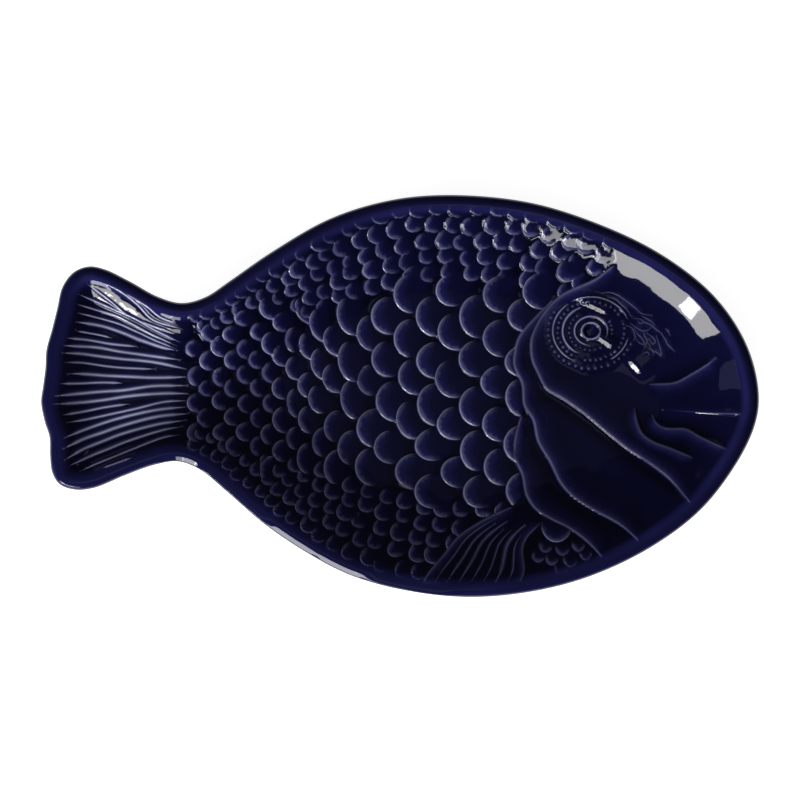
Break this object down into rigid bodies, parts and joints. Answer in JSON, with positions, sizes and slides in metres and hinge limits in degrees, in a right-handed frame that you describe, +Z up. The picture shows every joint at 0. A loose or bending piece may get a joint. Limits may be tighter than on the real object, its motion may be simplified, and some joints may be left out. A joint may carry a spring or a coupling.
{
  "type": "deep serving dish",
  "caption": "Fish-shaped deep ceramic serving dish with a rounded rim, a scaled hollow, a fanned tail, an oval foot ring and a glossy dark blue glaze.",
  "frame": {"origin": "on the standing plane of the foot ring, under the middle of the dish's outline", "axes": "+X from the tail to the head, +Y to the fish's back, +Z up out of the hollow"},
  "size_m": [0.351, 0.1966, 0.0329],
  "materials": {
    "stoneware": "bare fired stoneware, matt",
    "cobalt_glaze": "glossy dark cobalt glaze, lighter where it thins on raised edges",
    "base_glaze": "glossy dark cobalt glaze"
  },
  "bodies": {
    "root": {"clay_body": "stoneware", "glaze_coat": "cobalt_glaze", "base_glaze": "base_glaze"}
  },
  "joints": []
}
